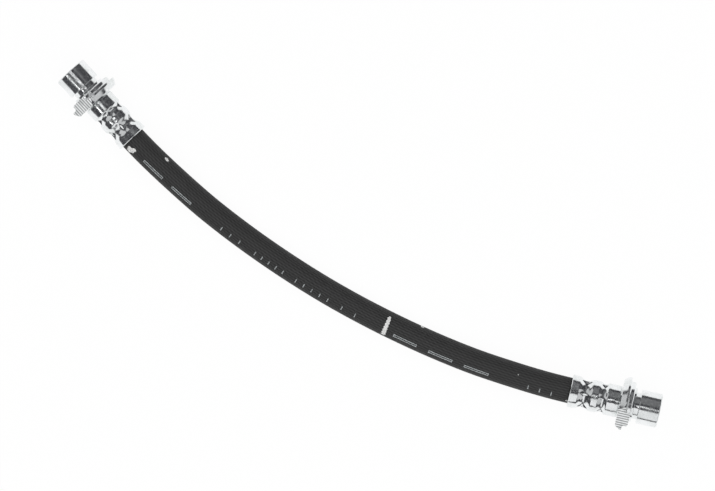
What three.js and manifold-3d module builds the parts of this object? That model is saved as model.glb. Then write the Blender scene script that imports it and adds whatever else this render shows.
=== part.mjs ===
// A hydraulic brake hose: a rubber hose with a female port fitting crimped on each end.
// Millimetres, +Z up. It lies on a flat surface at z = 0, on the flanges of its two fittings and the
// middle of the hose, with its length along X and its bow towards -Y.
import * as THREE from "three";
import { mergeVertices } from "three/addons/utils/BufferGeometryUtils.js";
import Module from "manifold-3d";

const wasm = await Module();
wasm.setup();

// Hose
const HOSE_OD = 10.5;
const HOSE_BORE = 3.2;
const HOSE_SIDES = 12;
const HOSE_STEPS = 12;

// The line that the middle of the hose follows, from its left cut end to its right one. The first
// two points and the last two lie on the axes of the fittings, so they aim them.
const ROUTE = [
  [-119.1, -0.3, 10.46],
  [-102.3, -5.5, 9.1],
  [-92, -8.4, 8.35],
  [-78, -11.7, 7.5],
  [-62, -14.9, 6.6],
  [-42, -17.6, 5.85],
  [-21, -19.3, 5.4],
  [0, -19.9, 5.26],
  [21, -19.3, 5.4],
  [42, -17.6, 5.85],
  [62, -14.9, 6.6],
  [78, -11.7, 7.5],
  [92, -8.4, 8.35],
  [102.3, -5.5, 9.1],
  [119.1, -0.3, 10.46],
];

// Turned fitting: head with the port, clip groove, boss, shoulder, flange and collar
const HEAD_OD = 14;
const HEAD_LENGTH = 8.5;
const EDGE_CHAMFER = 0.4;
const GROOVE_OD = 11;
const GROOVE_WIDTH = 2;
const BOSS_LENGTH = 0.9;
const SHOULDER_OD = 18.4;
const SHOULDER_LENGTH = 2.1;
const FLANGE_OD = 21.7;
const FLANGE_THICKNESS = 0.9;
const FLANGE_BACK = 0.6; // length over which the flange slopes down to the collar
const COLLAR_OD = 17.6;
const COLLAR_END_OD = 16.8;
const COLLAR_LENGTH = 1.4;
const FLAT_TO_AXIS = 8.15;
const FLAT_ANGLE = 42; // degrees above the horizontal, on the side of the hose's bow

// Port: a M10 x 1 tapping bore with an inverted flare seat at its foot
const PORT_BORE = 8.92;
const PORT_MOUTH = 10.4;
const PORT_DEPTH = 8.2;
const SEAT_FOOT_OD = 6.8;
const SEAT_TIP_OD = 3.4;
const SEAT_HEIGHT = 1.7;
const FLUID_BORE = 2.4;

// Neck that holds the ferrule, and barbed stem that goes into the hose
const NECK_OD = 8;
const LAND_OD = 9.8;
const LAND_LENGTH = 1;
const STEM_OD = 3.5;
const STEM_LENGTH = 16.4;
const BARB_OD = 4.3;
const BARB_COUNT = 5;
const BARB_LENGTH = 2;
const BARB_PITCH = 2.6;
const BARBS_FROM = 2.4;
const STEM_TIP_CHAMFER = 0.3;

// Crimped ferrule: a cup over the hose, pressed in by six jaws in two rows
const FERRULE_LENGTH = 20.3;
const FERRULE_WALL = 0.9;
const BASE_WALL = 1.2;
const LIP_FLARE = 0.35;
const FLARE_LENGTH = 3.6;
const JAWS = 6;
const JAW_STEPS = 6;
const RIDGE_SHARE = 0.35; // how much of a dent's depth is left on the ridge between two jaws
const RIDGE_SHARPNESS = 6; // how narrow the ridges are
// Each row: where its dents start and end from the ferrule's base, their depth, and how far along
// the dent its deepest place lies
const CRIMP_ROWS = [
  { from: 4.9, to: 9.1, depth: 0.8, deepest: 0.4, steps: 5 },
  { from: 11.2, to: 17.2, depth: 1.15, deepest: 0.5, steps: 5 },
];

// Clearances
const FIT_GAP = 0.3; // between pieces that touch on the real hose
const FERRULE_SLIP = 0.35; // round the hose inside the ferrule before it is crimped

const TURNED_SEGMENTS = JAWS * JAW_STEPS;
const SQUEEZED_SEGMENTS = 4 * JAWS;

// Stations along a fitting's axis, from its end face towards the hose
const GROOVE_TO = HEAD_LENGTH + GROOVE_WIDTH;
const BOSS_TO = GROOVE_TO + BOSS_LENGTH;
const SHOULDER_TO = BOSS_TO + SHOULDER_LENGTH;
const FLANGE_TO = SHOULDER_TO + FLANGE_THICKNESS;
const COLLAR_FROM = FLANGE_TO + FLANGE_BACK;
const COLLAR_TO = COLLAR_FROM + COLLAR_LENGTH;
const FERRULE_FROM = COLLAR_TO + FIT_GAP;
const FERRULE_TO = FERRULE_FROM + FERRULE_LENGTH;
const LAND_FROM = FERRULE_FROM + BASE_WALL + FIT_GAP;
const LAND_TO = LAND_FROM + LAND_LENGTH;
const STEM_TO = LAND_TO + STEM_LENGTH;
const HOSE_SEAT = LAND_TO + FIT_GAP;

const steel = new THREE.MeshStandardMaterial({
  color: 0xb9bdc1,
  roughness: 0.24,
  metalness: 1,
});
const rubber = new THREE.MeshStandardMaterial({
  color: 0x33332f,
  roughness: 0.62,
  metalness: 0,
});

function solidFrom(geometry) {
  const bare = geometry.index ? geometry.toNonIndexed() : geometry.clone();
  bare.deleteAttribute("normal");
  bare.deleteAttribute("uv");
  const merged = mergeVertices(bare, 1e-4);
  return new wasm.Manifold(
    new wasm.Mesh({
      numProp: 3,
      vertProperties: new Float32Array(merged.attributes.position.array),
      triVerts: new Uint32Array(merged.index.array),
    }),
  );
}

function geometryFrom(solid) {
  const mesh = solid.getMesh();
  const geometry = new THREE.BufferGeometry();
  geometry.setAttribute("position", new THREE.BufferAttribute(mesh.vertProperties, 3));
  geometry.setIndex(new THREE.BufferAttribute(mesh.triVerts, 1));
  geometry.computeVertexNormals();
  return geometry;
}

// A closed loop of [radius, station] points turned about the fitting's axis, which is +Y here.
function turned(loop, segments = TURNED_SEGMENTS) {
  const points = [...loop, loop[0]].map(([radius, station]) => new THREE.Vector2(radius, station));
  return new THREE.LatheGeometry(points, segments);
}

// A closed ring whose section changes round the axis: loopAt(angle) gives the section there.
function ringOfSections(loopAt, segments = TURNED_SEGMENTS) {
  const positions = [];
  const index = [];
  let count = 0;
  for (let i = 0; i < segments; i++) {
    const angle = (i / segments) * 2 * Math.PI;
    const loop = loopAt(angle);
    count = loop.length;
    for (const [radius, station] of loop)
      positions.push(radius * Math.cos(angle), station, radius * Math.sin(angle));
  }
  for (let i = 0; i < segments; i++) {
    const here = i * count;
    const next = ((i + 1) % segments) * count;
    for (let j = 0; j < count; j++) {
      const k = (j + 1) % count;
      index.push(here + j, here + k, next + k);
      index.push(here + j, next + k, next + j);
    }
  }
  const geometry = new THREE.BufferGeometry();
  geometry.setAttribute("position", new THREE.Float32BufferAttribute(positions, 3));
  geometry.setIndex(index);
  return geometry;
}

// Outside of the stem from its root to its tip, grown by a clearance. Each barb is steep towards the
// root, where the rubber would slip off, and tapers towards the tip.
function stemOutline(grown) {
  const root = STEM_OD / 2 + grown;
  const points = [[root, LAND_TO]];
  for (let i = 0; i < BARB_COUNT; i++) {
    const from = LAND_TO + BARBS_FROM + i * BARB_PITCH;
    points.push([root, from - grown]);
    points.push([BARB_OD / 2 + grown, from - grown]);
    points.push([root, from + BARB_LENGTH]);
  }
  points.push([root, STEM_TO - STEM_TIP_CHAMFER]);
  points.push([root - STEM_TIP_CHAMFER, STEM_TO + grown]);
  return points;
}

function headAndFlange() {
  return [
    [HEAD_OD / 2 - EDGE_CHAMFER, 0],
    [HEAD_OD / 2, EDGE_CHAMFER],
    [HEAD_OD / 2, HEAD_LENGTH],
    [GROOVE_OD / 2, HEAD_LENGTH],
    [GROOVE_OD / 2, GROOVE_TO],
    [HEAD_OD / 2, GROOVE_TO],
    [HEAD_OD / 2, BOSS_TO],
    [SHOULDER_OD / 2 - EDGE_CHAMFER, BOSS_TO],
    [SHOULDER_OD / 2, BOSS_TO + EDGE_CHAMFER],
    [SHOULDER_OD / 2, SHOULDER_TO],
    [FLANGE_OD / 2, SHOULDER_TO],
    [FLANGE_OD / 2, FLANGE_TO],
    [COLLAR_OD / 2, COLLAR_FROM],
    [COLLAR_END_OD / 2, COLLAR_TO - EDGE_CHAMFER],
    [COLLAR_END_OD / 2 - EDGE_CHAMFER, COLLAR_TO],
    [NECK_OD / 2, COLLAR_TO],
    [NECK_OD / 2, LAND_FROM],
    [LAND_OD / 2, LAND_FROM],
    [LAND_OD / 2, LAND_TO],
  ];
}

function portAndSeat() {
  const mouthChamfer = (PORT_MOUTH - PORT_BORE) / 2;
  return [
    [FLUID_BORE / 2, STEM_TO],
    [FLUID_BORE / 2, PORT_DEPTH - SEAT_HEIGHT],
    [SEAT_TIP_OD / 2, PORT_DEPTH - SEAT_HEIGHT],
    [SEAT_FOOT_OD / 2, PORT_DEPTH],
    [PORT_BORE / 2, PORT_DEPTH],
    [PORT_BORE / 2, mouthChamfer],
    [PORT_MOUTH / 2, 0],
  ];
}

// The flat across the shoulder, flange and collar, which stops the fitting turning in its bracket
function flatCut(roll) {
  const size = FLANGE_OD;
  const length = COLLAR_TO - BOSS_TO + 2 * EDGE_CHAMFER;
  const block = new THREE.BoxGeometry(size, length, 2 * size);
  block.translate(FLAT_TO_AXIS + size / 2, (BOSS_TO + COLLAR_TO) / 2, 0);
  block.rotateY(-THREE.MathUtils.degToRad(roll));
  return block;
}

function fittingGeometry(roll) {
  const blank = solidFrom(turned([...headAndFlange(), ...stemOutline(0), ...portAndSeat()]));
  return geometryFrom(blank.subtract(solidFrom(flatCut(roll))));
}

// How far a jaw presses at an angle: fully at its middle, least on the ridge between two jaws
function jawShare(angle) {
  const pitch = (2 * Math.PI) / JAWS;
  const fromMiddle = Math.abs(angle / pitch - Math.round(angle / pitch)) * 2;
  return 1 - (1 - RIDGE_SHARE) * fromMiddle ** RIDGE_SHARPNESS;
}

function dentDepth(station, angle) {
  let depth = 0;
  for (const row of CRIMP_ROWS) {
    const along = (station - FERRULE_FROM - row.from) / (row.to - row.from);
    if (along < 0 || along > 1) continue;
    const reach = along < row.deepest ? row.deepest : 1 - row.deepest;
    const fromDeepest = (along - row.deepest) / reach;
    depth += row.depth * (1 - fromDeepest ** 2) ** 2 * jawShare(angle);
  }
  return depth;
}

// Outer radius of the ferrule at a station and an angle
function ferruleRadius(station, angle) {
  const band = HOSE_OD / 2 + FERRULE_SLIP + FERRULE_WALL;
  const fromBase = station - FERRULE_FROM;
  const flareFrom = FERRULE_LENGTH - FLARE_LENGTH;
  const flare = fromBase > flareFrom ? (LIP_FLARE * (fromBase - flareFrom)) / FLARE_LENGTH : 0;
  return band + flare - dentDepth(station, angle);
}

// Stations where the ferrule's surface changes, with the curve of each row of dents in steps
function ferruleStations() {
  const stations = [];
  for (const row of CRIMP_ROWS) {
    const from = FERRULE_FROM + row.from;
    for (let i = 0; i <= row.steps; i++)
      stations.push(from + ((row.to - row.from) * i) / row.steps);
  }
  stations.push(FERRULE_TO - FLARE_LENGTH);
  stations.push(FERRULE_TO);
  return stations.sort((a, b) => a - b);
}

function ferruleGeometry() {
  const stations = ferruleStations();
  const floor = FERRULE_FROM + BASE_WALL;
  return ringOfSections((angle) => {
    const outer = stations.map((s) => [ferruleRadius(s, angle), s]);
    const inner = stations.map((s) => [ferruleRadius(s, angle) - FERRULE_WALL, s]).reverse();
    const corner = ferruleRadius(FERRULE_FROM, angle);
    return [
      [NECK_OD / 2 + FIT_GAP, FERRULE_FROM],
      [corner - EDGE_CHAMFER, FERRULE_FROM],
      [corner, FERRULE_FROM + EDGE_CHAMFER],
      ...outer,
      ...inner,
      [corner - FERRULE_WALL, floor],
      [NECK_OD / 2 + FIT_GAP, floor],
    ];
  });
}

// What the ferrule squeezes off the hose: all that lies outside its dented bore
function squeezeCut() {
  const stations = ferruleStations();
  const far = HOSE_OD;
  return ringOfSections(
    (angle) => [
      [far, stations[0]],
      [far, stations.at(-1)],
      ...stations.map((s) => [ferruleRadius(s, angle) - FERRULE_WALL - FIT_GAP, s]).reverse(),
    ],
    SQUEEZED_SEGMENTS,
  );
}

// What the stem takes up inside the hose
function stemCut() {
  const outline = stemOutline(FIT_GAP);
  const root = outline[0][0];
  const loop = [[0, LAND_TO - FIT_GAP], [root, LAND_TO - FIT_GAP], ...outline, [0, STEM_TO + FIT_GAP]];
  return turned(loop, HOSE_SIDES);
}

// Places a fitting: its end face at the group's origin and its axis towards the hose. Local X points
// to the side of the bow, level with the surface that the hose lies on.
function endGroup(cutEnd, inside) {
  const axis = new THREE.Vector3().subVectors(inside, cutEnd).normalize();
  const side = new THREE.Vector3().crossVectors(axis, new THREE.Vector3(0, 0, 1)).normalize();
  if (side.y > 0) side.negate();
  const third = new THREE.Vector3().crossVectors(side, axis);
  const group = new THREE.Group();
  group.quaternion.setFromRotationMatrix(new THREE.Matrix4().makeBasis(side, axis, third));
  group.position.copy(cutEnd).addScaledVector(axis, -HOSE_SEAT);
  group.updateMatrixWorld(true);
  return group;
}

function ringOfPoints(radius, sides) {
  const points = [];
  for (let i = 0; i < sides; i++) {
    const angle = (i / sides) * 2 * Math.PI;
    points.push(new THREE.Vector2(radius * Math.cos(angle), radius * Math.sin(angle)));
  }
  return points;
}

function hoseTube(points) {
  const section = new THREE.Shape(ringOfPoints(HOSE_OD / 2, HOSE_SIDES));
  section.holes.push(new THREE.Path(ringOfPoints(HOSE_BORE / 2, HOSE_SIDES).reverse()));
  return new THREE.ExtrudeGeometry(section, {
    steps: HOSE_STEPS,
    extrudePath: new THREE.CatmullRomCurve3(points),
  });
}

const route = ROUTE.map(([x, y, z]) => new THREE.Vector3(x, y, z));
const ends = [
  { name: "left", group: endGroup(route[0], route[1]), roll: FLAT_ANGLE },
  { name: "right", group: endGroup(route.at(-1), route.at(-2)), roll: -FLAT_ANGLE },
];

const brakeHose = new THREE.Group();
let hose = solidFrom(hoseTube(route));
for (const { name, group, roll } of ends) {
  const fitting = new THREE.Mesh(fittingGeometry(roll), steel);
  fitting.name = name + "_port_fitting";
  const ferrule = new THREE.Mesh(ferruleGeometry(), steel);
  ferrule.name = name + "_crimped_ferrule";
  group.add(fitting, ferrule);
  brakeHose.add(group);
  for (const cut of [squeezeCut(), stemCut()])
    hose = hose.subtract(solidFrom(cut.applyMatrix4(group.matrixWorld)));
}
const hoseMesh = new THREE.Mesh(geometryFrom(hose), rubber);
hoseMesh.name = "hose";
brakeHose.add(hoseMesh);

export default brakeHose;
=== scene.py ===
"""A brake hose that lies in its bow on a pale surface, with a port fitting crimped on each end."""

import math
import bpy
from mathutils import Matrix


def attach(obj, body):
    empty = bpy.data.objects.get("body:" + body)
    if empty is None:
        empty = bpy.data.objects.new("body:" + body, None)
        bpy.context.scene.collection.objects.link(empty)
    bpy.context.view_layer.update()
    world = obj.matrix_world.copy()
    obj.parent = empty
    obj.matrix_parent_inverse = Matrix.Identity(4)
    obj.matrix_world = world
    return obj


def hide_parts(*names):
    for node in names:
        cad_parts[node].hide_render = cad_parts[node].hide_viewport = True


bl_info = {
    "name": "Brake hose",
    "version": (1, 0, 0),
    "blender": (4, 5, 0),
    "location": "3D View > Sidebar > Brake hose",
    "description": "Makes a brake hose with crimped port fittings, and a studio to look at it in",
    "category": "Object",
}

from types import SimpleNamespace

import bmesh
import bpy
from bpy.props import FloatProperty, FloatVectorProperty, IntProperty, PointerProperty
from mathutils import Matrix, Vector

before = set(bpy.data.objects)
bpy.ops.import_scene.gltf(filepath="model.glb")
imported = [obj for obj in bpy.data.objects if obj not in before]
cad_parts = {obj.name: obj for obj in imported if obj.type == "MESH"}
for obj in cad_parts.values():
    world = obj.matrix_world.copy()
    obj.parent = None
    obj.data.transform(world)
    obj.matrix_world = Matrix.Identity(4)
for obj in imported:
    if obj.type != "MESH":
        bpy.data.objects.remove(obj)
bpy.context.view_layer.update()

MM = 0.001
UP = Vector((0, 0, 1))

# The line that the middle of the hose follows, in millimetres, from its left cut end to its right
# one. The first two points and the last two lie on the axes of the fittings.
ROUTE = [
    (-119.1, -0.3, 10.46),
    (-102.3, -5.5, 9.1),
    (-92, -8.4, 8.35),
    (-78, -11.7, 7.5),
    (-62, -14.9, 6.6),
    (-42, -17.6, 5.85),
    (-21, -19.3, 5.4),
    (0, -19.9, 5.26),
    (21, -19.3, 5.4),
    (42, -17.6, 5.85),
    (62, -14.9, 6.6),
    (78, -11.7, 7.5),
    (92, -8.4, 8.35),
    (102.3, -5.5, 9.1),
    (119.1, -0.3, 10.46),
]

# Printed dashes on the hose: where each starts and ends along X, in millimetres
DASHES = [(-93.2, -83.1), (-78.3, -68.1), (28.9, 39.2), (44.4, 54.8), (59.7, 70.1)]

# Groups of printed ticks: places of the first and the last along X in millimetres, and their number
TICK_GROUPS = [
    (-52.6, -43.6, 3),
    (-35.9, -22.4, 5),
    (-16.1, -1.1, 5),
    (5.4, 11.5, 2),
    (86.3, 95.6, 3),
]

# Spots of white paint: place along X in millimetres, angle from the top towards the bow in degrees,
# and size along and across the hose in millimetres
PAINT_SPOTS = [
    (-99.7, 46, 1.5, 1.2),
    (-98.7, 34, 0.8, 1.0),
    (-100.0, 58, 1.0, 0.9),
    (-87.0, -46, 0.95, 0.75),
    (38.2, -74, 0.75, 1.0),
    (81.2, -8, 0.22, 0.2),
    (102.1, 53, 0.5, 0.4),
]

# Lamps: name, place, width and depth in metres, the setting with its power, and the direction that
# its width runs along
LAMPS = [
    ("left_panel", (-1.93, 0.15, 1.6), 3, 2.15, "end_power", (0, 1, 0)),
    ("right_panel", (1.93, 0.15, 1.6), 3, 2.15, "end_power", (0, 1, 0)),
    ("bow_panel", (0.713, -1.522, 1.527), 1.35, 2.46, "bow_power", (0.9, 0.42, 0)),
    ("back_card", (-0.3, 1.48, 1.57), 1, 1.8, "card_power", (0.95, 0.3, 0)),
    ("high_strip", (-0.095, -0.143, 2.2), 0.16, 0.7, "strip_power", (0.95, -0.3, 0)),
    ("low_strip", (-0.48, -1.27, 1.77), 0.16, 0.3, "strip_power", (0.95, -0.3, 0)),
    ("overhead_fill", (0, 0, 2.5), 3, 3, "fill_power", (1, 0, 0)),
]
LAMP_AIM = (0, 0, 0.01)


# Settings


def size(name, description, millimetres):
    return FloatProperty(
        name=name, description=description, default=millimetres * MM, min=0, unit="LENGTH", precision=5
    )


def turn(name, description, degrees):
    return FloatProperty(
        name=name, description=description, default=math.radians(degrees), subtype="ANGLE"
    )


def place(name, description, metres):
    return FloatVectorProperty(
        name=name, description=description, default=metres, subtype="TRANSLATION", precision=4
    )


def srgb(code):
    """The linear colour of an sRGB hex value."""
    parts = [int(code[i : i + 2], 16) / 255 for i in (1, 3, 5)]
    return [c / 12.92 if c <= 0.04045 else ((c + 0.055) / 1.055) ** 2.4 for c in parts]


def colour(name, description, code):
    return FloatVectorProperty(
        name=name, description=description, default=srgb(code), size=3, min=0, max=1, subtype="COLOR"
    )


def share(name, description, value):
    return FloatProperty(
        name=name, description=description, default=value, min=0, max=1, subtype="FACTOR"
    )


def power(name, description, watts):
    return FloatProperty(name=name, description=description, default=watts, min=0, unit="POWER")


def whole(name, description, number, least):
    return IntProperty(name=name, description=description, default=number, min=least)


class CameraSettings(bpy.types.PropertyGroup):
    stand: place("Stand", "Where the camera stands", (-0.0011, 0.0024, 1.1))
    aim: place("Aim", "The point that the camera looks at", (-0.00165, 0.00238, 0.01))
    right: place("Right", "Direction that runs to the right in the picture", (0.866, 0.5, 0))
    focal_length: FloatProperty(
        name="Focal length",
        description="Focal length of the lens, in millimetres",
        default=135.38,
        min=10,
        subtype="DISTANCE_CAMERA",
    )


class HoseSettings(bpy.types.PropertyGroup):
    diameter: size("Diameter", "Outside diameter of the hose", 10.5)
    cut_length: size("Cut length", "Length of the hose between its two cut ends", 245)
    squeezed_diameter: size("Squeezed diameter", "Outside diameter inside the ferrules", 8)
    squeeze_run: size("Squeeze run", "Length over which the hose narrows in a ferrule", 3.5)
    sides: whole("Sides", "Faces round the hose", 72, 12)
    rings: whole("Rings", "Rings of faces along the hose", 320, 40)
    wrap_pitch: size("Wrap pitch", "Distance between two lines of the cloth's imprint", 1.05)
    wrap_angle: turn("Wrap angle", "Slant of the cloth's cross threads to the hose", 58)
    # Both colours are the one rubber: the imprint's ridges are painted lighter and its hollows darker, as
    # painted light and shade
    light_rubber: colour("Light rubber", "Colour of the ridges of the imprint", "#404040")
    dark_rubber: colour("Dark rubber", "Colour of the hollows of the imprint", "#191919")
    dash_width: size("Dash width", "Width of a printed dash over both its lines", 1.25)
    line_width: size("Line width", "Width of one printed line", 0.4)
    print_angle: turn("Print angle", "Place of the print from the top towards the bow", 36)
    tick_height: size("Tick height", "Length of a printed tick across the hose", 1.9)
    print_lift: size("Print lift", "Height of the print over the rubber", 0.03)
    paint_lift: size("Paint lift", "Height of the paint over the rubber", 0.12)
    stroke_place: size("Stroke place", "Place of the paint stroke along X", 24.5)
    stroke_width: size("Stroke width", "Width of the paint stroke", 1.75)
    stroke_slant: size("Stroke slant", "How far the stroke's end lies along X from its start", 0.6)
    stroke_wobble: size("Stroke wobble", "How far the stroke's edges wave", 0.2)
    stroke_from: turn("Stroke start", "Start of the paint stroke, from the top", -36)
    stroke_to: turn("Stroke end", "End of the paint stroke, towards the bow", 63)
    ink: colour("Ink", "Colour of the print", "#a6abac")
    paint: colour("Paint", "Colour of the paint spots", "#e0e0de")


class FittingSettings(bpy.types.PropertyGroup):
    head_diameter: size("Head diameter", "Diameter of the head with the port", 14)
    head_length: size("Head length", "Length of the head", 8.5)
    edge_chamfer: size("Edge chamfer", "Chamfer on the head and the shoulder", 0.4)
    groove_diameter: size("Groove diameter", "Diameter at the foot of the clip groove", 11)
    groove_width: size("Groove width", "Width of the clip groove", 2)
    boss_length: size("Boss length", "Length of the band behind the groove", 0.9)
    shoulder_diameter: size("Shoulder diameter", "Diameter of the shoulder", 18.4)
    shoulder_length: size("Shoulder length", "Length of the shoulder", 2.1)
    shoulder_fillet: size("Shoulder fillet", "Fillet between shoulder and flange", 0.4)
    flange_diameter: size("Flange diameter", "Diameter of the flange", 21.7)
    flange_thickness: size("Flange thickness", "Thickness of the flange at its rim", 0.9)
    collar_end: size("Collar end", "Diameter of the collar's narrow end", 19.3)
    collar_length: size("Collar length", "Length of the collar, which tapers down from the flange", 2)
    flat_distance: size("Flat distance", "Distance of the milled flat from the axis", 8.15)
    flat_angle: turn("Flat angle", "Slope of the flat's face above the level", 42)
    port_diameter: size("Port diameter", "Outer diameter of the port's thread", 10)
    thread_crest: size("Thread crest", "Inner diameter of the port's thread", 8.92)
    thread_pitch: size("Thread pitch", "Pitch of the port's thread", 1)
    port_mouth: size("Port mouth", "Diameter of the port's countersink", 10.5)
    port_depth: size("Port depth", "Depth of the port", 8.2)
    seat_foot: size("Seat foot", "Diameter of the flare seat at its foot", 6.8)
    seat_tip: size("Seat tip", "Diameter of the flare seat at its tip", 3.4)
    seat_height: size("Seat height", "Height of the flare seat", 1.7)
    fluid_bore: size("Fluid bore", "Diameter of the bore through the fitting", 2.4)
    neck_diameter: size("Neck diameter", "Diameter of the neck in the ferrule's base", 8)
    land_diameter: size("Land diameter", "Diameter of the land behind the neck", 9.8)
    land_length: size("Land length", "Length of the land", 1)
    stem_diameter: size("Stem diameter", "Diameter of the stem inside the hose", 3.5)
    stem_length: size("Stem length", "Length of the stem", 16.4)
    barbs: whole("Barbs", "Barbs on the stem", 5, 0)
    first_barb: size("First barb", "Distance of the first barb from the land", 2.4)
    barb_diameter: size("Barb diameter", "Diameter of the stem's barbs", 4.3)
    barb_pitch: size("Barb pitch", "Distance between two barbs", 2.6)
    barb_slope: size("Barb slope", "Length of a barb's slope", 2.002)
    softened: size("Softened edges", "Radius of the worn corners", 0.12)
    segments: whole("Segments", "Faces round a fitting", 160, 24)
    zinc: colour("Zinc", "Colour of the zinc plate", "#f1f3f4")
    zinc_haze: colour("Zinc haze", "Colour of the hazy places in the plate", "#dde1e0")
    roughness: share("Roughness", "Roughness of the turned surfaces", 0.14)
    swell: size("Swell", "Height of the slow waves in the turned surfaces", 0.028)
    milling_pitch: size("Milling pitch", "Distance between two cutter marks on the flat", 1.45)
    # Colour of the painted shade in the hollows of the cutter marks on the flat
    milling_mark_shade: colour("Milling dust", "Colour of the dust in the cutter marks", "#646665")


class FerruleSettings(bpy.types.PropertyGroup):
    length: size("Length", "Length of the ferrule", 20.3)
    wall: size("Wall", "Thickness of the ferrule's wall", 0.9)
    base_wall: size("Base wall", "Thickness of the ferrule's base", 1.2)
    slip: size("Slip", "Clearance round the hose before crimping", 0.35)
    lip_flare: size("Lip flare", "How far the mouth flares", 0.35)
    flare_length: size("Flare length", "Length of the flared mouth", 3.6)
    jaws: whole("Jaws", "Jaws of the press that crimped it", 6, 3)
    ridge_share: share("Ridge share", "Share of a dent's depth that is left between two jaws", 0.35)
    ridge_sharpness: FloatProperty(
        name="Ridge sharpness", description="How narrow the ridges are", default=6, min=1
    )
    first_from: size("First row start", "Start of the first row of dents", 4.9)
    first_to: size("First row end", "End of the first row of dents", 9.1)
    first_depth: size("First row depth", "Depth of the first row", 0.8)
    first_deepest: share("First row deepest", "Where along the first row it is deepest", 0.4)
    second_from: size("Second row start", "Start of the second row of dents", 11.2)
    second_to: size("Second row end", "End of the second row of dents", 17.2)
    second_depth: size("Second row depth", "Depth of the second row", 1.15)
    second_deepest: share("Second row deepest", "Where along the second row it is deepest", 0.5)
    segments: whole("Segments", "Faces round a ferrule", 180, 24)
    rings: whole("Rings", "Rings of faces along a ferrule", 130, 30)
    roughness: share("Roughness", "Roughness of the pressed steel", 0.14)
    swell: size("Swell", "Height of the slow waves that the press leaves", 0.1)


class StudioSettings(bpy.types.PropertyGroup):
    floor_radius: size("Floor radius", "Radius of the flat part of the floor", 6000)
    rim_run: size("Rim run", "Length over which the floor's rim rises", 1000)
    rim_height: size("Rim height", "Height of the floor's rim", 400)
    floor_colour: colour("Floor", "Colour of the floor", "#fdfdfd")
    floor_glow: share("Floor glow", "Share of the floor's look that is its plain colour", 0.95)
    surroundings: colour("Surroundings", "Colour of the room over the floor", "#3f3f42")
    end_power: power("End power", "Power of each end panel", 11)
    bow_power: power("Bow power", "Power of the panel on the bow's side", 8.8)
    card_power: power("Card power", "Power of the dim card at the back", 0.6)
    strip_power: power("Strip power", "Power of each narrow strip", 0.6)
    fill_power: power("Fill power", "Power of the panel overhead", 56)


# In the functions below, h, f and c are the settings of the hose, a fitting and a ferrule, and s holds
# the stations along a fitting's axis


def axes_matrix(x, z, origin):
    """Matrix with these X and Z axes, at this place."""
    matrix = Matrix((x, z.cross(x), z)).transposed().to_4x4()
    matrix.translation = origin
    return matrix


def looking(stand, aim, across):
    """Matrix of a camera or lamp that faces the aim, with X as near as can be to across."""
    back = (Vector(stand) - Vector(aim)).normalized()
    across = Vector(across)
    across = (across - back * across.dot(back)).normalized()
    return axes_matrix(across, back, stand)


# Meshes


def hand_over(bm, name, materials, smooth_below=None, matrix=None):
    """Turns the bmesh into an object with these materials, and keeps edges over that angle sharp.
    The matrix moves it to its place, and its vertices keep where they were as "own_place"."""
    mesh = bpy.data.meshes.new(name)
    bm.to_mesh(mesh)
    bm.free()
    if matrix:
        own = mesh.attributes.new("own_place", "FLOAT_VECTOR", "POINT")
        for vertex, kept in zip(mesh.vertices, own.data):
            kept.vector = vertex.co
        mesh.transform(matrix)
    piece = bpy.data.objects.new(name, mesh)
    bpy.context.scene.collection.objects.link(piece)
    for material in materials:
        mesh.materials.append(material)
    if smooth_below:
        mesh.set_sharp_from_angle(angle=smooth_below)
        even = piece.modifiers.new("Even faces", "WEIGHTED_NORMAL")
        even.keep_sharp = True
    return piece


def ring_of_sections(bm, loop_at, segments):
    """A closed ring about local Z. loop_at(angle) gives its section there as (radius, station)."""
    rings = []
    for i in range(segments):
        angle = 2 * math.pi * i / segments
        c, s = math.cos(angle), math.sin(angle)
        rings.append([bm.verts.new((r * c, r * s, z)) for r, z in loop_at(angle)])
    for here, after in zip(rings, rings[1:] + rings[:1]):
        for j in range(len(here)):
            k = (j + 1) % len(here)
            face = bm.faces.new((here[j], here[k], after[k], after[j]))
            face.smooth = True


def softened(corners, steps=4):
    """A closed loop of (radius, station, rounding) corners, each rounded off in a few steps."""
    loop = []
    for i, (r, z, rounding) in enumerate(corners):
        here = Vector((r, z))
        before = Vector(corners[i - 1][:2]) - here
        after = Vector(corners[(i + 1) % len(corners)][:2]) - here
        reach = min(rounding, before.length * 0.45, after.length * 0.45)
        if reach <= 0:
            loop.append((r, z))
            continue
        start = here + before.normalized() * reach
        end = here + after.normalized() * reach
        for step in range(steps + 1):
            t = step / steps
            point = start * (1 - t) ** 2 + here * 2 * t * (1 - t) + end * t * t
            loop.append((point.x, point.y))
    return loop


def catmull_rom(points, count):
    """Evenly spread points on the centripetal curve through the given ones."""
    steps = 64
    ghosts = [points[0] * 2 - points[1], *points, points[-1] * 2 - points[-2]]
    dense = []
    for p0, p1, p2, p3 in zip(ghosts, ghosts[1:], ghosts[2:], ghosts[3:]):
        d0, d1, d2 = (math.sqrt((b - a).length) for a, b in ((p0, p1), (p1, p2), (p2, p3)))
        m1 = ((p1 - p0) / d0 - (p2 - p0) / (d0 + d1) + (p2 - p1) / d1) * d1
        m2 = ((p2 - p1) / d1 - (p3 - p1) / (d1 + d2) + (p3 - p2) / d2) * d1
        for step in range(steps):
            t = step / steps
            dense.append(
                p1
                + m1 * t
                + (p2 * 3 - p1 * 3 - m1 * 2 - m2) * t**2
                + (p1 * 2 - p2 * 2 + m1 + m2) * t**3
            )
    dense.append(points[-1])
    along = [0.0]
    for a, b in zip(dense, dense[1:]):
        along.append(along[-1] + (b - a).length)
    spread, k = [], 0
    for i in range(count):
        target = along[-1] * i / (count - 1)
        while k < len(dense) - 2 and along[k + 1] < target:
            k += 1
        t = (target - along[k]) / (along[k + 1] - along[k])
        spread.append(dense[k].lerp(dense[k + 1], min(t, 1)))
    return spread


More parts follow.
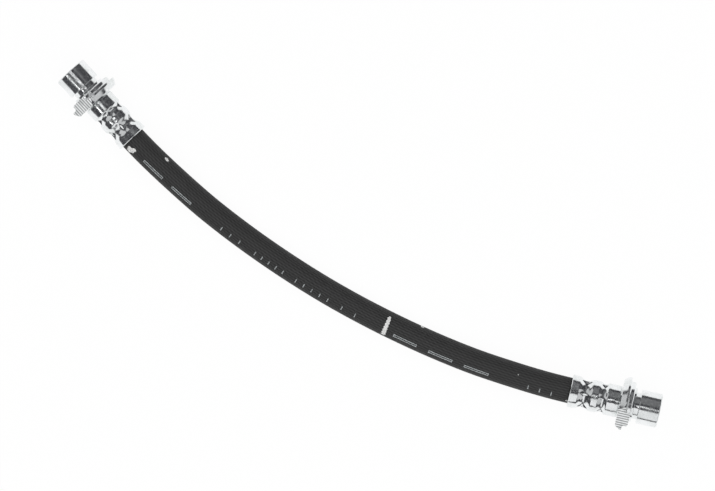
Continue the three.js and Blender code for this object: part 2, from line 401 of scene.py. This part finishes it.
class Bow:
    """The middle line of the hose, with a way to find a place on its surface."""

    def __init__(self, settings):
        self.centres = catmull_rom([Vector(p) * MM for p in ROUTE], settings.rings + 1)
        self.radius = settings.diameter / 2
        self.frames = []
        for i in range(len(self.centres)):
            before = self.centres[max(i - 1, 0)]
            after = self.centres[min(i + 1, len(self.centres) - 1)]
            along = (after - before).normalized()
            side = along.cross(UP).normalized()
            self.frames.append((along, side, side.cross(along)))

    def point(self, i, angle, radius):
        """A point beside centre i, at an angle from the top towards the bow."""
        _, side, top = self.frames[i]
        return self.centres[i] + (side * math.sin(angle) + top * math.cos(angle)) * radius

    def surface(self, x, angle, lift):
        """A point on the hose at a place along X."""
        i = 0
        while i < len(self.centres) - 2 and self.centres[i + 1].x < x:
            i += 1
        t = (x - self.centres[i].x) / (self.centres[i + 1].x - self.centres[i].x)
        radius = self.radius + lift
        return self.point(i, angle, radius).lerp(self.point(i + 1, angle, radius), t)


def end_frames(seat):
    """Name, matrix and upward side of each fitting: its end face lies at the origin, local Z is its
    axis towards the hose, and local X points to the bow, level with the floor."""
    ends = []
    for name, cut_end, inside in (("left", ROUTE[0], ROUTE[1]), ("right", ROUTE[-1], ROUTE[-2])):
        axis = (Vector(inside) - Vector(cut_end)).normalized()
        side = axis.cross(UP).normalized()
        if side.y > 0:
            side.negate()
        matrix = axes_matrix(side, axis, Vector(cut_end) * MM - axis * seat)
        ends.append((name, matrix, math.copysign(1, axis.cross(side).z)))
    return ends


def stations(f, c):
    """Distances from a fitting's end face along its axis."""
    gap = 0.3 * MM
    s = SimpleNamespace(gap=gap)
    s.groove_to = f.head_length + f.groove_width
    s.boss_to = s.groove_to + f.boss_length
    s.shoulder_to = s.boss_to + f.shoulder_length
    s.flange_to = s.shoulder_to + f.flange_thickness
    s.collar_to = s.flange_to + f.collar_length
    s.ferrule_from = s.collar_to + gap
    s.ferrule_to = s.ferrule_from + c.length
    s.land_from = s.ferrule_from + c.base_wall + gap
    s.land_to = s.land_from + f.land_length
    s.stem_to = s.land_to + f.stem_length
    s.hose_seat = s.land_to + gap
    return s


# Materials


def add(tree, kind, settings=(), inputs=()):
    """Adds a node. Each input takes a value, or a socket that it is linked to."""
    node = tree.nodes.new("ShaderNode" + kind)
    for name, value in dict(settings).items():
        setattr(node, name, value)
    for name, value in dict(inputs).items():
        if isinstance(value, bpy.types.NodeSocket):
            tree.links.new(value, node.inputs[name])
        else:
            node.inputs[name].default_value = value
    return node


def new_material(name):
    """An empty material, its node tree and its shader."""
    material = bpy.data.materials.new(name)
    material.use_nodes = True
    tree = material.node_tree
    tree.nodes.clear()
    shader = add(tree, "BsdfPrincipled")
    add(tree, "OutputMaterial", inputs={"Surface": shader.outputs[0]})
    return material, tree, shader


def opaque(rgb):
    return (*rgb, 1)


def wave_scale(pitch):
    """Scale at which Blender's bands lie one pitch apart."""
    return 2 * math.pi / (20 * pitch)


def noise_scale(grain):
    """Scale at which Blender's noise has grains of that size."""
    return 1 / grain


def own_place(tree):
    """Place on a fitting in metres, with Z along its axis."""
    return add(tree, "Attribute", {"attribute_name": "own_place"}).outputs["Vector"]


def zinc_clouds(tree, shader, f, roughness, lines, swell):
    """Haze, specks and waves that all the plated surfaces share. lines is the height socket of the
    tool's lines, and swell is the height of the slow waves in the surface."""
    where = own_place(tree)
    haze = add(
        tree,
        "TexNoise",
        inputs={"Vector": where, "Scale": noise_scale(5.26 * MM), "Detail": 4, "Roughness": 0.6},
    )
    amount = add(tree, "MapRange", inputs={0: haze.outputs["Fac"], 1: 0.42, 2: 0.68, 3: 0, 4: 0.75})
    colours = {0: amount.outputs[0], 6: opaque(f.zinc), 7: opaque(f.zinc_haze)}
    mixed = add(tree, "Mix", {"data_type": "RGBA"}, colours)
    rough = add(
        tree,
        "MapRange",
        inputs={0: haze.outputs["Fac"], 1: 0.38, 2: 0.64, 3: roughness * 0.7, 4: roughness * 1.4},
    )
    tree.links.new(mixed.outputs[2], shader.inputs["Base Color"])
    tree.links.new(rough.outputs[0], shader.inputs["Roughness"])
    # Specks of salts on the plate, some 0.7 mm wide, scatter a little white light
    specks = add(tree, "TexNoise", inputs={"Vector": where, "Scale": noise_scale(0.667 * MM), "Detail": 2})
    bare = add(tree, "MapRange", inputs={0: specks.outputs["Fac"], 1: 0.48, 2: 0.62, 3: 1, 4: 0.9})
    tree.links.new(bare.outputs[0], shader.inputs["Metallic"])
    waves = add(tree, "TexNoise", inputs={"Vector": where, "Scale": noise_scale(2.38 * MM), "Detail": 1})
    wavy = add(tree, "Bump", inputs={"Distance": swell, "Height": waves.outputs["Fac"]})
    bumped = add(
        tree,
        "Bump",
        inputs={"Strength": 0.35, "Distance": 0.02 * MM, "Height": lines, "Normal": wavy.outputs[0]},
    )
    tree.links.new(bumped.outputs[0], shader.inputs["Normal"])


def turned_zinc(f):
    # Free-cutting steel, turned on a lathe and bright zinc plated: a hard mirror-like shine, broken
    # by fine rings from the tool and by hazy, faintly warm and cool clouds in the plate
    material, tree, shader = new_material("turned_zinc_plated_steel")
    split = add(tree, "SeparateXYZ", inputs={0: own_place(tree)})
    across = add(tree, "CombineXYZ", inputs={0: split.outputs[0], 1: split.outputs[1]})
    radius = add(tree, "VectorMath", {"operation": "LENGTH"}, {0: across.outputs[0]})
    along = add(tree, "Math", {"operation": "ADD"}, {0: split.outputs[2], 1: radius.outputs["Value"]})
    # The tool's feed, an eighth of a millimetre a turn
    rings = add(
        tree,
        "TexNoise",
        {"noise_dimensions": "1D"},
        {"W": along.outputs[0], "Scale": noise_scale(0.125 * MM), "Detail": 1},
    )
    zinc_clouds(tree, shader, f, f.roughness, rings.outputs["Fac"], f.swell)
    return material


def milled_zinc(f):
    # The same steel where a cutter milled a flat: straight marks along the axis, and less shine. The
    # real marks lie 0.8 mm apart, too close to show, and are drawn at nearly twice that
    material, tree, shader = new_material("milled_zinc_plated_steel")
    # Both flats lie on the positive side of local X, and on either side of local Y
    upper = add(tree, "VectorMath", {"operation": "ABSOLUTE"}, {0: own_place(tree)})
    across = add(
        tree,
        "VectorMath",
        {"operation": "DOT_PRODUCT"},
        {0: upper.outputs[0], 1: (math.sin(f.flat_angle), -math.cos(f.flat_angle), 0)},
    )
    where = add(tree, "CombineXYZ", inputs={0: across.outputs["Value"]}).outputs[0]
    marks = add(
        tree,
        "TexWave",
        {"wave_type": "BANDS", "bands_direction": "X", "wave_profile": "TRI"},
        {"Vector": where, "Scale": wave_scale(f.milling_pitch), "Distortion": 0.4, "Detail": 1},
    )
    zinc_clouds(tree, shader, f, f.roughness * 2, marks.outputs["Fac"], f.swell)
    # Painted shade in the cutter's marks greys every other line
    plate = shader.inputs["Base Color"].links[0].from_socket
    mark_shade = add(tree, "MapRange", inputs={0: marks.outputs["Fac"], 1: 0.25, 2: 0.7, 3: 0.75, 4: 0})
    colours = {0: mark_shade.outputs[0], 6: plate, 7: opaque(f.milling_mark_shade)}
    mixed = add(tree, "Mix", {"data_type": "RGBA"}, colours)
    tree.links.new(mixed.outputs[2], shader.inputs["Base Color"])
    return material


def pressed_zinc(f, c):
    # Mild steel cup, deep drawn, crimped and bright zinc plated: smooth and mirror-like, with faint
    # drawing lines along its length, 0.4 mm wide so that they show
    material, tree, shader = new_material("pressed_zinc_plated_steel")
    split = add(tree, "SeparateXYZ", inputs={0: own_place(tree)})
    # Squeezed along the axis, so that the noise is drawn out into lines some 6 mm long
    squeezed = add(tree, "Math", {"operation": "MULTIPLY"}, {0: split.outputs[2], 1: 0.06})
    where = add(
        tree,
        "CombineXYZ",
        inputs={0: split.outputs[0], 1: split.outputs[1], 2: squeezed.outputs[0]},
    )
    drawn = add(
        tree,
        "TexNoise",
        inputs={"Vector": where.outputs[0], "Scale": noise_scale(0.385 * MM), "Detail": 2},
    )
    zinc_clouds(tree, shader, f, c.roughness, drawn.outputs["Fac"], c.swell)
    return material


def wrapped_rubber(h):
    # EPDM rubber, cured in a wrapping of cloth tape: matt charcoal, with the cloth's fine threads
    # printed in it as lines along the hose and shorter ones across them. The real threads lie some
    # 0.8 mm apart, and are drawn a little coarser so that they show. The imprint's ridges are painted
    # lighter and its hollows darker, as painted light and shade on the one rubber
    material, tree, shader = new_material("cloth_cured_epdm_rubber")
    where = add(tree, "UVMap", {"uv_map": "surface"}).outputs[0]
    lines = add(
        tree,
        "TexWave",
        {"wave_type": "BANDS", "bands_direction": "Y"},
        {
            "Vector": where,
            "Scale": wave_scale(h.wrap_pitch),
            "Distortion": 0.5,
            "Detail": 1,
            "Detail Scale": 0.3,
        },
    )
    slanted = add(tree, "Mapping", inputs={"Vector": where, "Rotation": (0, 0, h.wrap_angle)})
    threads = add(
        tree,
        "TexWave",
        {"wave_type": "BANDS", "bands_direction": "X"},
        {"Vector": slanted.outputs[0], "Scale": wave_scale(h.wrap_pitch * 1.3), "Distortion": 0.8},
    )
    # The skin wears and dusts in patches some 6 mm long
    worn = add(
        tree,
        "TexNoise",
        inputs={"Vector": where, "Scale": noise_scale(6.25 * MM), "Detail": 5, "Roughness": 0.6},
    )
    weave = add(tree, "Mix", inputs={0: 0.3, 2: lines.outputs["Fac"], 3: threads.outputs["Fac"]})
    # Painted light and shade of the imprint (ridges lighter, hollows darker), mixed with the real worn
    # patches
    imprint_shade_and_wear = add(tree, "Mix", inputs={0: 0.3, 2: weave.outputs[0], 3: worn.outputs["Fac"]})
    colours = {0: imprint_shade_and_wear.outputs[0], 6: opaque(h.dark_rubber), 7: opaque(h.light_rubber)}
    mixed = add(tree, "Mix", {"data_type": "RGBA"}, colours)
    rough = add(tree, "MapRange", inputs={0: worn.outputs["Fac"], 1: 0.3, 2: 0.7, 3: 0.58, 4: 0.74})
    bumped = add(
        tree, "Bump", inputs={"Strength": 0.6, "Distance": 0.06 * MM, "Height": weave.outputs[0]}
    )
    tree.links.new(mixed.outputs[2], shader.inputs["Base Color"])
    tree.links.new(rough.outputs[0], shader.inputs["Roughness"])
    tree.links.new(bumped.outputs[0], shader.inputs["Normal"])
    shader.inputs["IOR"].default_value = 1.5
    shader.inputs["Specular IOR Level"].default_value = 0.35
    return material


def printed_ink(h):
    # Grey marking ink, rolled on the cured rubber: thin and matt, with the rubber grinning through
    # in gaps some 0.6 mm wide
    material, tree, shader = new_material("grey_marking_ink")
    where = add(tree, "TexCoord").outputs["Object"]
    worn = add(
        tree,
        "TexNoise",
        inputs={"Vector": where, "Scale": noise_scale(0.588 * MM), "Detail": 3, "Roughness": 0.6},
    )
    amount = add(tree, "MapRange", inputs={0: worn.outputs["Fac"], 1: 0.3, 2: 0.54, 3: 0.25, 4: 1})
    colours = {0: amount.outputs[0], 6: opaque(h.light_rubber), 7: opaque(h.ink)}
    mixed = add(tree, "Mix", {"data_type": "RGBA"}, colours)
    tree.links.new(mixed.outputs[2], shader.inputs["Base Color"])
    shader.inputs["Roughness"].default_value = 0.6
    return material


def daubed_paint(h):
    # White marking paint, daubed on by hand: thick, half glossy, with a few greyish thin places
    material, tree, shader = new_material("white_marking_paint")
    where = add(tree, "TexCoord").outputs["Object"]
    thin = add(tree, "TexNoise", inputs={"Vector": where, "Scale": noise_scale(0.769 * MM), "Detail": 2})
    amount = add(tree, "MapRange", inputs={0: thin.outputs["Fac"], 1: 0.56, 2: 0.74, 3: 0, 4: 0.8})
    colours = {0: amount.outputs[0], 6: opaque(h.paint), 7: opaque(h.ink)}
    mixed = add(tree, "Mix", {"data_type": "RGBA"}, colours)
    tree.links.new(mixed.outputs[2], shader.inputs["Base Color"])
    shader.inputs["Roughness"].default_value = 0.4
    return material


def floor_board(studio):
    # Matt white paper sweep: shows its plain colour to the camera and in the metal, and keeps the
    # soft shadow under the hose
    material, tree, shader = new_material("white_paper_sweep")
    shader.inputs["Base Color"].default_value = opaque(studio.floor_colour)
    shader.inputs["Roughness"].default_value = 0.9
    shader.inputs["Specular IOR Level"].default_value = 0
    path = add(tree, "LightPath")
    seen = path.outputs["Is Camera Ray"]
    for ray in ("Is Glossy Ray", "Is Transmission Ray"):
        seen = add(tree, "Math", {"operation": "MAXIMUM"}, {0: seen, 1: path.outputs[ray]}).outputs[0]
    amount = add(tree, "Math", {"operation": "MULTIPLY"}, {0: seen, 1: studio.floor_glow})
    plain = add(tree, "Emission", inputs={"Color": (1, 1, 1, 1), "Strength": 1})
    mixed = add(
        tree, "MixShader", inputs={0: amount.outputs[0], 1: shader.outputs[0], 2: plain.outputs[0]}
    )
    output = next(n for n in tree.nodes if n.bl_idname == "ShaderNodeOutputMaterial")
    tree.links.new(mixed.outputs[0], output.inputs["Surface"])
    return material


# Hose


def hose_radius(h, s, along, total):
    """Outer radius of the hose at a distance from its cut end: narrower inside the ferrules."""
    mouth = s.ferrule_to - s.hose_seat
    inside = mouth - min(along, total - along)
    squeezed = min(max((inside - s.gap) / h.squeeze_run, 0), 1)
    return (h.diameter + (h.squeezed_diameter - h.diameter) * squeezed**0.5) / 2


def hose_tube(h, s, bow, material):
    bm = bmesh.new()
    surface = bm.loops.layers.uv.new("surface")
    total = sum((b - a).length for a, b in zip(bow.centres, bow.centres[1:]))
    step = total / h.rings
    # The seam of the surface's UVs lies underneath
    angles = [math.pi + 2 * math.pi * j / h.sides for j in range(h.sides)]
    rings = []
    for i in range(h.rings + 1):
        radius = hose_radius(h, s, i * step, total)
        rings.append([bm.verts.new(bow.point(i, a, radius)) for a in angles])
    around = math.pi * h.diameter / h.sides
    for i in range(h.rings):
        for j in range(h.sides):
            k = (j + 1) % h.sides
            face = bm.faces.new((rings[i][j], rings[i][k], rings[i + 1][k], rings[i + 1][j]))
            face.smooth = True
            corners = ((i, j), (i, j + 1), (i + 1, j + 1), (i + 1, j))
            for loop, (ring, side) in zip(face.loops, corners):
                loop[surface].uv = (ring * step, side * around)
    bm.faces.new(rings[0])
    bm.faces.new(rings[-1])
    bmesh.ops.recalc_face_normals(bm, faces=bm.faces)
    return hand_over(bm, "rubber_hose", [material], math.radians(40))


def patch(bm, bow, edges, rows, columns, lift):
    """A thin skin on the hose. edges(t) gives, for t from 0 to 1 across it, its angle and the two
    places along X between which it runs there. Its border goes down into the rubber."""
    grid = []
    for row in range(-1, rows + 2):
        t = min(max(row, 0), rows) / rows
        angle, x_from, x_to = edges(t)
        line = []
        for column in range(-1, columns + 2):
            u = min(max(column, 0), columns) / columns
            border = row in (-1, rows + 1) or column in (-1, columns + 1)
            x = x_from + (x_to - x_from) * u
            line.append(bm.verts.new(bow.surface(x, angle, -lift if border else lift)))
        grid.append(line)
    for here, after in zip(grid, grid[1:]):
        for a, b, c, d in zip(here, here[1:], after[1:], after):
            bm.faces.new((a, b, c, d)).smooth = True


def printed_marks(h, bow, material):
    """Hollow dashes, and groups of plain ticks between them."""
    bm = bmesh.new()
    half = h.dash_width / 2
    line = h.line_width
    for start, end in DASHES:
        x_from, x_to = start * MM, end * MM
        bars = [
            (x_from, x_to, -half, line - half),
            (x_from, x_to, half - line, half),
            (x_from, x_from + line, line - half, half - line),
            (x_to - line, x_to, line - half, half - line),
        ]
        for bar_from, bar_to, low, high in bars:
            patch(
                bm,
                bow,
                lambda t: (h.print_angle + (low + (high - low) * t) / bow.radius, bar_from, bar_to),
                rows=2,
                columns=max(2, round((bar_to - bar_from) / (0.5 * MM))),
                lift=h.print_lift,
            )
    for start, end, count in TICK_GROUPS:
        for i in range(count):
            x = (start + (end - start) * i / max(count - 1, 1)) * MM
            reach = h.tick_height / 2 / bow.radius
            patch(
                bm,
                bow,
                lambda t: (h.print_angle - reach + 2 * reach * t, x - line / 2, x + line / 2),
                rows=8,
                columns=2,
                lift=h.print_lift,
            )
    bmesh.ops.recalc_face_normals(bm, faces=bm.faces)
    return hand_over(bm, "printed_marks", [material])


def paint_marks(h, bow, material):
    """A daubed stroke across the hose, and a few spots."""
    bm = bmesh.new()
    waves = 7

    def stroke_edges(t):
        angle = h.stroke_from + (h.stroke_to - h.stroke_from) * t
        wobble = h.stroke_wobble * math.sin(2 * math.pi * waves * t)
        middle = h.stroke_place + h.stroke_slant * t
        # Round at both ends, and wider towards the bow, where the brush was set down
        taper = min(1, 0.62 + 3 * t, 0.62 + 5 * (1 - t)) * (0.74 + 0.32 * t)
        reach = h.stroke_width / 2 * taper
        return angle, middle - reach + wobble, middle + reach + wobble * 0.6

    patch(bm, bow, stroke_edges, rows=48, columns=6, lift=h.paint_lift)
    rim = 18
    for x, angle, along, across in PAINT_SPOTS:
        centre = bm.verts.new(bow.surface(x * MM, math.radians(angle), h.paint_lift * 1.4))
        rings = []
        # Each ring's share of the spot's size, and of the paint's height over the rubber
        for reach, lift in ((0.7, 1.1), (1.0, 0.1), (1.04, -1.0)):
            ring = []
            for i in range(rim):
                a = 2 * math.pi * i / rim
                uneven = 1 + 0.14 * math.sin(2 * a + x) + 0.09 * math.sin(5 * a + 2 * x)
                at_x = (x + math.cos(a) * along * reach * uneven) * MM
                turned = math.sin(a) * across * reach * uneven * MM / bow.radius
                at = bow.surface(at_x, math.radians(angle) + turned, h.paint_lift * lift)
                ring.append(bm.verts.new(at))
            rings.append(ring)
        for i in range(rim):
            k = (i + 1) % rim
            bm.faces.new((centre, rings[0][i], rings[0][k])).smooth = True
            for inner, outer in zip(rings, rings[1:]):
                bm.faces.new((inner[i], outer[i], outer[k], inner[k])).smooth = True
    bmesh.ops.recalc_face_normals(bm, faces=bm.faces)
    return hand_over(bm, "paint_marks", [material])


# Fittings


def fitting_corners(f, s):
    """Corners of the fitting's section: outside from the end face to the stem's tip, then back
    through its bore to the port's mouth."""
    soft = f.softened
    mouth_chamfer = (f.port_mouth - f.port_diameter) / 2
    stem = f.stem_diameter / 2
    corners = [
        (f.head_diameter / 2 - f.edge_chamfer, 0, soft),
        (f.head_diameter / 2, f.edge_chamfer, soft),
        (f.head_diameter / 2, f.head_length, soft),
        (f.groove_diameter / 2, f.head_length, soft),
        (f.groove_diameter / 2, s.groove_to, soft),
        (f.head_diameter / 2, s.groove_to, soft),
        (f.head_diameter / 2, s.boss_to, soft),
        (f.shoulder_diameter / 2 - f.edge_chamfer, s.boss_to, soft),
        (f.shoulder_diameter / 2, s.boss_to + f.edge_chamfer, soft),
        (f.shoulder_diameter / 2, s.shoulder_to - f.shoulder_fillet, f.shoulder_fillet),
        (f.shoulder_diameter / 2 + f.shoulder_fillet, s.shoulder_to, f.shoulder_fillet),
        (f.flange_diameter / 2, s.shoulder_to, soft * 1.5),
        (f.flange_diameter / 2, s.flange_to, soft),
        (f.collar_end / 2, s.collar_to, soft),
        (f.neck_diameter / 2, s.collar_to, 0),
        (f.neck_diameter / 2, s.land_from, 0),
        (f.land_diameter / 2, s.land_from, 0),
        (f.land_diameter / 2, s.land_to, 0),
        (stem, s.land_to, 0),
    ]
    for i in range(f.barbs):
        barb = s.land_to + f.first_barb + i * f.barb_pitch
        corners += [
            (stem, barb, 0),
            (f.barb_diameter / 2, barb, 0),
            (stem, barb + f.barb_slope, 0),
        ]
    corners += [
        (stem, s.stem_to - s.gap, 0),
        (stem - s.gap, s.stem_to, 0),
        (f.fluid_bore / 2, s.stem_to, 0),
        (f.fluid_bore / 2, f.port_depth - f.seat_height, 0),
        (f.seat_tip / 2, f.port_depth - f.seat_height, soft),
        (f.seat_foot / 2, f.port_depth, soft),
        (f.port_diameter / 2, f.port_depth, 0),
        (f.port_diameter / 2, mouth_chamfer, soft),
        (f.port_mouth / 2, 0, soft),
    ]
    return corners


def cut_flat(bm, f, upward):
    """Mills the flat: clears what lies beyond its plane, and fills the cut with a face of its own."""
    facing = Vector((math.cos(f.flat_angle), upward * math.sin(f.flat_angle), 0))
    cut = bmesh.ops.bisect_plane(
        bm,
        geom=bm.verts[:] + bm.edges[:] + bm.faces[:],
        plane_co=facing * f.flat_distance,
        plane_no=facing,
        clear_outer=True,
    )
    edges = [e for e in cut["geom_cut"] if isinstance(e, bmesh.types.BMEdge)]
    filled = bmesh.ops.contextual_create(bm, geom=edges)["faces"]
    if not filled:
        raise RuntimeError("the flat's cut wasn't filled")
    for face in filled:
        face.smooth = False
        face.material_index = 1


def port_thread(bm, f):
    """A ridge that winds down the port's wall. It runs out into the wall at both ends."""
    sunk = 0.03 * MM
    wall = f.port_diameter / 2 + sunk
    crest = f.thread_crest / 2
    per_turn = 64
    run_out = 40
    turns = (f.port_depth - f.seat_height * 0.6) / f.thread_pitch - 0.8
    steps = round(turns * per_turn)
    # Half of the ridge's width at its foot and at its tip
    foot, tip = f.thread_pitch * 0.44, f.thread_pitch * 0.07
    lines = []
    for i in range(steps + 1):
        angle = 2 * math.pi * i / per_turn
        z = f.thread_pitch * (0.75 + i / per_turn)
        rise = min(1, i / run_out, (steps - i) / run_out)
        inner = wall + (crest - wall) * rise
        c, s = math.cos(angle), math.sin(angle)
        section = ((wall, z - foot), (inner, z - tip), (inner, z + tip), (wall, z + foot))
        lines.append([bm.verts.new((r * c, r * s, at)) for r, at in section])
    for here, after in zip(lines, lines[1:]):
        for j in range(3):
            bm.faces.new((here[j], here[j + 1], after[j + 1], after[j])).smooth = True


def port_fitting(f, s, end, materials):
    name, matrix, upward = end
    bm = bmesh.new()
    loop = softened(fitting_corners(f, s))
    ring_of_sections(bm, lambda angle: loop, f.segments)
    cut_flat(bm, f, upward)
    bmesh.ops.recalc_face_normals(bm, faces=bm.faces)
    port_thread(bm, f)
    return hand_over(bm, name + "_turned_fitting", materials, math.radians(32), matrix)


# Ferrules


def dent_rows(c):
    return (
        (c.first_from, c.first_to, c.first_depth, c.first_deepest),
        (c.second_from, c.second_to, c.second_depth, c.second_deepest),
    )


def jaw_share(c, angle):
    """How far a jaw presses at an angle: fully at its middle, least on the ridge between two."""
    turns = angle * c.jaws / (2 * math.pi)
    from_middle = abs(turns - round(turns)) * 2
    return 1 - (1 - c.ridge_share) * from_middle**c.ridge_sharpness


def ferrule_radius(c, band, from_base, angle):
    radius = band
    flare_from = c.length - c.flare_length
    if from_base > flare_from:
        radius += c.lip_flare * (from_base - flare_from) / c.flare_length
    for start, end, depth, deepest in dent_rows(c):
        along = (from_base - start) / (end - start)
        if 0 <= along <= 1:
            off = (along - deepest) / (deepest if along < deepest else 1 - deepest)
            radius -= depth * (1 - off**2) ** 2 * jaw_share(c, angle)
    return radius


def crimped_ferrule(f, c, h, s, end, material):
    name, matrix, _ = end
    band = h.diameter / 2 + c.slip + c.wall
    chamfer = f.edge_chamfer
    neck = f.neck_diameter / 2 + s.gap
    edge = 0.25 * MM
    spread = [chamfer + (c.length - chamfer) * i / c.rings for i in range(c.rings + 1)]
    levels = sorted([c.length - c.flare_length, *spread])

    def section(angle):
        corner = ferrule_radius(c, band, 0, angle)
        outer = [(ferrule_radius(c, band, z, angle), s.ferrule_from + z) for z in levels]
        lip = outer[-1]
        # Every fourth ring is enough inside
        inner = [(r - c.wall, z) for r, z in outer[::-4] if z > s.ferrule_from + c.base_wall]
        return [
            (neck, s.ferrule_from),
            (corner - chamfer, s.ferrule_from),
            *[point for point in outer if point[1] < lip[1] - 1.2 * edge],
            (lip[0], lip[1] - 1.2 * edge),
            (lip[0] - 0.8 * edge, lip[1] - 0.3 * edge),
            (lip[0] - 1.4 * edge, lip[1]),
            (lip[0] - c.wall + edge, lip[1]),
            *inner[1:],
            (corner - c.wall, s.ferrule_from + c.base_wall),
            (neck, s.ferrule_from + c.base_wall),
        ]

    bm = bmesh.new()
    ring_of_sections(bm, section, c.segments)
    bmesh.ops.recalc_face_normals(bm, faces=bm.faces)
    return hand_over(bm, name + "_pressed_ferrule", [material], math.radians(32), matrix)


# Studio


def paper_sweep(studio):
    """A round floor whose rim rises in an arc."""
    sides = 96
    rim_steps = 8
    rim_arc = math.radians(80)
    rings = [(studio.floor_radius * part, 0) for part in (0.1, 0.5, 1)]
    for i in range(1, rim_steps + 1):
        a = rim_arc * i / rim_steps
        rise = studio.rim_height * (1 - math.cos(a)) / (1 - math.cos(rim_arc))
        rings.append((studio.floor_radius + studio.rim_run * math.sin(a), rise))
    bm = bmesh.new()
    centre = bm.verts.new((0, 0, 0))
    turns = [2 * math.pi * i / sides for i in range(sides)]
    circles = [[bm.verts.new((r * math.cos(a), r * math.sin(a), z)) for a in turns] for r, z in rings]
    for i in range(sides):
        k = (i + 1) % sides
        bm.faces.new((centre, circles[0][i], circles[0][k]))
        for inner, outer in zip(circles, circles[1:]):
            bm.faces.new((inner[i], outer[i], outer[k], inner[k])).smooth = True
    return hand_over(bm, "paper_sweep", [floor_board(studio)])


def lamp(name, stand, width, depth, watts, along):
    """A soft area lamp that faces the hose. Its width runs along the given direction."""
    data = bpy.data.lights.new(name, "AREA")
    data.shape = "RECTANGLE"
    data.size = width
    data.size_y = depth
    data.energy = watts
    lit = bpy.data.objects.new(name, data)
    bpy.context.scene.collection.objects.link(lit)
    lit.matrix_world = looking(stand, LAMP_AIM, along)
    return lit


# Operators


class BRAKEHOSE_OT_camera(bpy.types.Operator):
    """Set the camera above the hose"""

    bl_idname = "brake_hose.camera"
    bl_label = "Camera"

    def execute(self, context):
        view = context.scene.brake_hose_camera
        data = bpy.data.cameras.new("camera")
        data.sensor_width = 36
        data.lens = view.focal_length
        data.clip_end = 50
        camera = bpy.data.objects.new("camera", data)
        context.scene.collection.objects.link(camera)
        camera.matrix_world = looking(view.stand, view.aim, view.right)
        context.scene.camera = camera
        return {"FINISHED"}


class BRAKEHOSE_OT_hose(bpy.types.Operator):
    """Make the rubber hose with its print and paint"""

    bl_idname = "brake_hose.hose"
    bl_label = "Hose"

    def execute(self, context):
        h = context.scene.brake_hose_hose
        s = stations(context.scene.brake_hose_fitting, context.scene.brake_hose_ferrule)
        bow = Bow(h)
        hose = hose_tube(h, s, bow, wrapped_rubber(h))
        marks = [
            printed_marks(h, bow, printed_ink(h)),
            paint_marks(h, bow, daubed_paint(h)),
        ]
        for piece in (hose, *marks):
            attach(piece, "root")
        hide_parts("hose")
        _, matrix, _ = end_frames(s.hose_seat)[0]
        return {"FINISHED"}


class BRAKEHOSE_OT_fittings(bpy.types.Operator):
    """Make the turned port fittings"""

    bl_idname = "brake_hose.fittings"
    bl_label = "Port fittings"

    def execute(self, context):
        f = context.scene.brake_hose_fitting
        s = stations(f, context.scene.brake_hose_ferrule)
        materials = [turned_zinc(f), milled_zinc(f)]
        for end in end_frames(s.hose_seat):
            piece = port_fitting(f, s, end, materials)
            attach(piece, "root")
            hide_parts(end[0] + "_port_fitting")
        return {"FINISHED"}


class BRAKEHOSE_OT_ferrules(bpy.types.Operator):
    """Make the crimped ferrules"""

    bl_idname = "brake_hose.ferrules"
    bl_label = "Crimped ferrules"

    def execute(self, context):
        f = context.scene.brake_hose_fitting
        c = context.scene.brake_hose_ferrule
        s = stations(f, c)
        material = pressed_zinc(f, c)
        for end in end_frames(s.hose_seat):
            piece = crimped_ferrule(f, c, context.scene.brake_hose_hose, s, end, material)
            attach(piece, "root")
            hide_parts(end[0] + "_crimped_ferrule")
        return {"FINISHED"}


class BRAKEHOSE_OT_studio(bpy.types.Operator):
    """Make the floor, the lamps and the room's plain light"""

    bl_idname = "brake_hose.studio"
    bl_label = "Studio"

    def execute(self, context):
        studio = context.scene.brake_hose_studio
        paper_sweep(studio)
        lamps = {
            name: lamp(name, stand, width, depth, getattr(studio, watts), along)
            for name, stand, width, depth, watts, along in LAMPS
        }
        # The fill lights the rubber, the paint and the floor. It has no glare in the metal, like a
        # lamp behind a polarizing screen
        lamps["overhead_fill"].visible_glossy = False

        world = bpy.data.worlds.new("room")
        world.use_nodes = True
        background = world.node_tree.nodes["Background"]
        background.inputs["Color"].default_value = opaque(studio.surroundings)
        context.scene.world = world
        context.scene.view_settings.view_transform = "Standard"
        return {"FINISHED"}


class BRAKEHOSE_PT_panel(bpy.types.Panel):
    """Settings and pieces of the brake hose"""

    bl_idname = "BRAKEHOSE_PT_panel"
    bl_label = "Brake hose"
    bl_space_type = "VIEW_3D"
    bl_region_type = "UI"
    bl_category = "Brake hose"

    def draw(self, context):
        for operator, group in STEPS:
            box = self.layout.box()
            box.operator(operator.bl_idname)
            settings = getattr(context.scene, "brake_hose_" + group)
            for name in settings.bl_rna.properties.keys():
                if name not in ("rna_type", "name"):
                    box.prop(settings, name)


STEPS = [
    (BRAKEHOSE_OT_camera, "camera"),
    (BRAKEHOSE_OT_hose, "hose"),
    (BRAKEHOSE_OT_fittings, "fitting"),
    (BRAKEHOSE_OT_ferrules, "ferrule"),
    (BRAKEHOSE_OT_studio, "studio"),
]

SETTINGS = {
    "brake_hose_camera": CameraSettings,
    "brake_hose_hose": HoseSettings,
    "brake_hose_fitting": FittingSettings,
    "brake_hose_ferrule": FerruleSettings,
    "brake_hose_studio": StudioSettings,
}


def register():
    for name, group in SETTINGS.items():
        bpy.utils.register_class(group)
        setattr(bpy.types.Scene, name, PointerProperty(type=group))
    for operator, _ in STEPS:
        bpy.utils.register_class(operator)
    bpy.utils.register_class(BRAKEHOSE_PT_panel)


def unregister():
    bpy.utils.unregister_class(BRAKEHOSE_PT_panel)
    for operator, _ in reversed(STEPS):
        bpy.utils.unregister_class(operator)
    for name, group in reversed(SETTINGS.items()):
        delattr(bpy.types.Scene, name)
        bpy.utils.unregister_class(group)


def main():
    register()
    bpy.ops.brake_hose.camera()
    bpy.ops.brake_hose.hose()
    bpy.ops.brake_hose.fittings()
    bpy.ops.brake_hose.ferrules()
    bpy.ops.brake_hose.studio()


if __name__ == "__main__":
    main()
